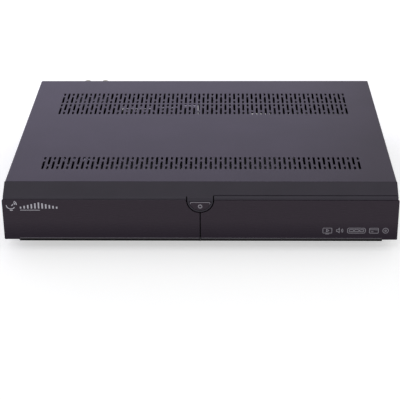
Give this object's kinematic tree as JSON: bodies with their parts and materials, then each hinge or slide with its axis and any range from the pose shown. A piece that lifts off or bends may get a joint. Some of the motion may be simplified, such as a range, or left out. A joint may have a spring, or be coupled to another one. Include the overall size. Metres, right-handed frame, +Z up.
{
  "type": "satellite television receiver",
  "caption": "Slim satellite television receiver with a vented steel case, smoked front, half-moon power button, drop-down door over card and module slots, and rear sockets.",
  "frame": {"origin": "centre of the overall box, on the plane that the feet stand on", "axes": "+Z up, the front faces -Y, +X to the right seen from the front"},
  "size_m": [0.34, 0.2712, 0.06],
  "materials": {
    "painted_steel": "satin dark grey powder coat",
    "zinc_steel": "zinc plated sheet",
    "dark_moulding": "satin moulded plastic",
    "smoked_plate": "polished smoked plastic",
    "black_plastic": "moulded plastic",
    "foot_rubber": "moulded rubber",
    "circuit_board": "solder resist on glass laminate",
    "bright_steel": "nickel or tin plated",
    "heat_sink_aluminium": "extruded, clear anodised",
    "display_glass": "sealed glass tube, dark when off",
    "cable_sheath": "flat cable insulation"
  },
  "bodies": {
    "receiver": {"top_cover": "painted_steel", "base_chassis": "zinc_steel", "rear_panel": "painted_steel", "foot_front_left": "foot_rubber", "foot_front_right": "foot_rubber", "foot_rear_left": "foot_rubber", "foot_rear_right": "foot_rubber", "cover_screw_front_left": "bright_steel", "cover_screw_front_right": "bright_steel", "cover_screw_rear_left": "bright_steel", "cover_screw_rear_right": "bright_steel", "front_bezel": "dark_moulding", "display_window": "smoked_plate", "display_tube": "display_glass", "front_board": "circuit_board", "door_hinge_pin_left": "bright_steel", "door_hinge_pin_right": "bright_steel", "door_catch": "black_plastic", "slot_board": "circuit_board", "module_slot_lower": "bright_steel", "module_slot_upper": "bright_steel", "card_reader_lower": "black_plastic", "card_reader_upper": "black_plastic", "front_data_socket": "bright_steel", "main_board": "circuit_board", "processor_heat_sink": "heat_sink_aluminium", "tuner_left": "bright_steel", "tuner_right": "bright_steel", "aerial_nut_left_lower": "bright_steel", "aerial_nut_left_upper": "bright_steel", "aerial_nut_right_lower": "bright_steel", "aerial_nut_right_upper": "bright_steel", "serial_socket": "bright_steel", "network_socket": "bright_steel", "rear_data_socket": "bright_steel", "disk_data_socket": "black_plastic", "video_socket": "bright_steel", "optical_socket": "black_plastic", "component_jacks": "black_plastic", "sound_jacks": "black_plastic", "power_board": "circuit_board", "power_transformer": "black_plastic", "power_capacitor": "black_plastic", "power_heat_sink": "heat_sink_aluminium", "mains_inlet": "black_plastic", "mains_switch_body": "black_plastic", "disk_bracket": "zinc_steel", "front_ribbon": "cable_sheath", "power_lead": "cable_sheath"},
    "door": {"door_frame": "dark_moulding", "door_skin": "smoked_plate"},
    "power_key": {"power_button": "dark_moulding"},
    "menu_key": {"menu_button": "black_plastic"},
    "exit_key": {"exit_button": "black_plastic"},
    "ok_key": {"ok_button": "black_plastic"},
    "up_key": {"up_button": "black_plastic"},
    "down_key": {"down_button": "black_plastic"},
    "eject_lower": {"eject_button_lower": "black_plastic"},
    "eject_upper": {"eject_button_upper": "black_plastic"},
    "rocker": {"mains_switch_rocker": "black_plastic"}
  },
  "joints": [
    {"name": "door_hinge", "type": "hinge", "parent": "receiver", "child": "door", "pos_m": [0, -0.12915, 0.0145], "axis": [1, 0, 0], "range_deg": [0, 90]},
    {"name": "power_press", "type": "slide", "parent": "receiver", "child": "power_key", "axis": [0, 1, 0], "range_m": [0, 0.0005], "stiffness_N_per_m": 2000},
    {"name": "menu_press", "type": "slide", "parent": "receiver", "child": "menu_key", "axis": [0, 1, 0], "range_m": [0, 0.0005], "stiffness_N_per_m": 2000},
    {"name": "exit_press", "type": "slide", "parent": "receiver", "child": "exit_key", "axis": [0, 1, 0], "range_m": [0, 0.0005], "stiffness_N_per_m": 2000},
    {"name": "ok_press", "type": "slide", "parent": "receiver", "child": "ok_key", "axis": [0, 1, 0], "range_m": [0, 0.0005], "stiffness_N_per_m": 2000},
    {"name": "up_press", "type": "slide", "parent": "receiver", "child": "up_key", "axis": [0, 1, 0], "range_m": [0, 0.0005], "stiffness_N_per_m": 2000},
    {"name": "down_press", "type": "slide", "parent": "receiver", "child": "down_key", "axis": [0, 1, 0], "range_m": [0, 0.0005], "stiffness_N_per_m": 2000},
    {"name": "eject_lower_press", "type": "slide", "parent": "receiver", "child": "eject_lower", "axis": [0, 1, 0], "range_m": [0, 0.004], "stiffness_N_per_m": 250},
    {"name": "eject_upper_press", "type": "slide", "parent": "receiver", "child": "eject_upper", "axis": [0, 1, 0], "range_m": [0, 0.004], "stiffness_N_per_m": 250},
    {"name": "rocker_tilt", "type": "hinge", "parent": "receiver", "child": "rocker", "pos_m": [0.10299, 0.12095, 0.0355], "axis": [0, 0, 1], "range_deg": [0, 18]}
  ]
}
